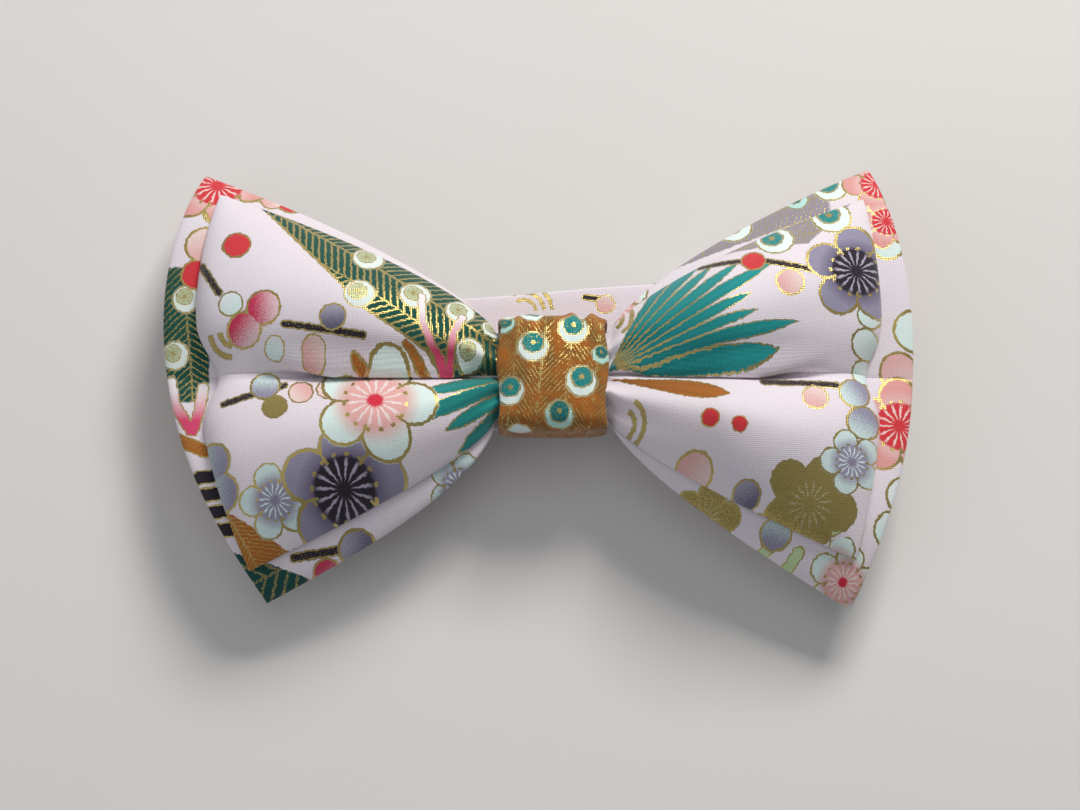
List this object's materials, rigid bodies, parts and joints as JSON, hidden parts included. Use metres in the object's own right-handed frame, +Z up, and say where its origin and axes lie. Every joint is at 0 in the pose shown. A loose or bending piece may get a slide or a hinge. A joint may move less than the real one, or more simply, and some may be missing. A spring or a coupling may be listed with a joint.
{
  "type": "bow tie",
  "caption": "Pre-tied bow tie of two stacked cloth bows with a wrapped knot, on a folded neck strap with slider, hook and eye.",
  "frame": {"origin": "middle of the bow tie's box, on the surface on which it lies", "axes": "+X along the bow to its right wing, +Y to its upper edge, +Z up out of its face, as it lies on its folded strap"},
  "size_m": [0.1194, 0.0726, 0.0243],
  "materials": {
    "printed_cotton": "matt plain-weave cotton printed with blossoms, feathers and metallic gold lines",
    "knot_cotton": "the print's brown-orange ground with gold lines and feather eyes",
    "strap_cotton": "matt plain-weave cotton, pale part of the print",
    "interfacing": "matt non-woven stiffener",
    "sewing_thread": "soft polyester thread",
    "nickel": "polished nickel plate"
  },
  "bodies": {
    "bow": {"front_bow_cloth": "printed_cotton", "rear_bow_cloth": "printed_cotton", "front_bow_interfacing": "interfacing", "rear_bow_interfacing": "interfacing", "knot_cloth": "knot_cotton", "knot_interfacing": "interfacing", "gathering_thread": "sewing_thread", "knot_tack_stitches": "sewing_thread", "strap_centre": "strap_cotton"},
    "left_tail": {"strap_left_tail": "strap_cotton", "eye_end_stitches": "sewing_thread"},
    "eye": {"eye": "nickel"},
    "right_tail": {"strap_right_tail": "strap_cotton"},
    "hook": {"hook": "nickel"},
    "slider": {"slider": "nickel", "strap_adjuster_end": "strap_cotton", "slider_end_stitches": "sewing_thread"}
  },
  "joints": [
    {"name": "left_tail_unfold", "type": "hinge", "parent": "bow", "child": "left_tail", "pos_m": [-0.05356, 0.00011, 0.00805], "axis": [-0.0785, 0.9969, 0], "range_deg": [0, 120]},
    {"name": "right_tail_unfold", "type": "hinge", "parent": "bow", "child": "right_tail", "pos_m": [0.05511, 0.00866, 0.00805], "axis": [0.0785, -0.9969, 0], "range_deg": [0, 120]},
    {"name": "eye_swing", "type": "hinge", "parent": "left_tail", "child": "eye", "pos_m": [-0.01866, 0.00285, 0.0022], "axis": [-0.0785, 0.9969, 0], "range_deg": [0, 80]},
    {"name": "hook_swing", "type": "hinge", "parent": "right_tail", "child": "hook", "pos_m": [0.0242, 0.00623, 0.0022], "axis": [0.0785, -0.9969, 0], "range_deg": [0, 80]},
    {"name": "slider_slide", "type": "slide", "parent": "right_tail", "child": "slider", "axis": [0.9969, 0.0785, 0], "range_m": [0, 0.0085]}
  ]
}
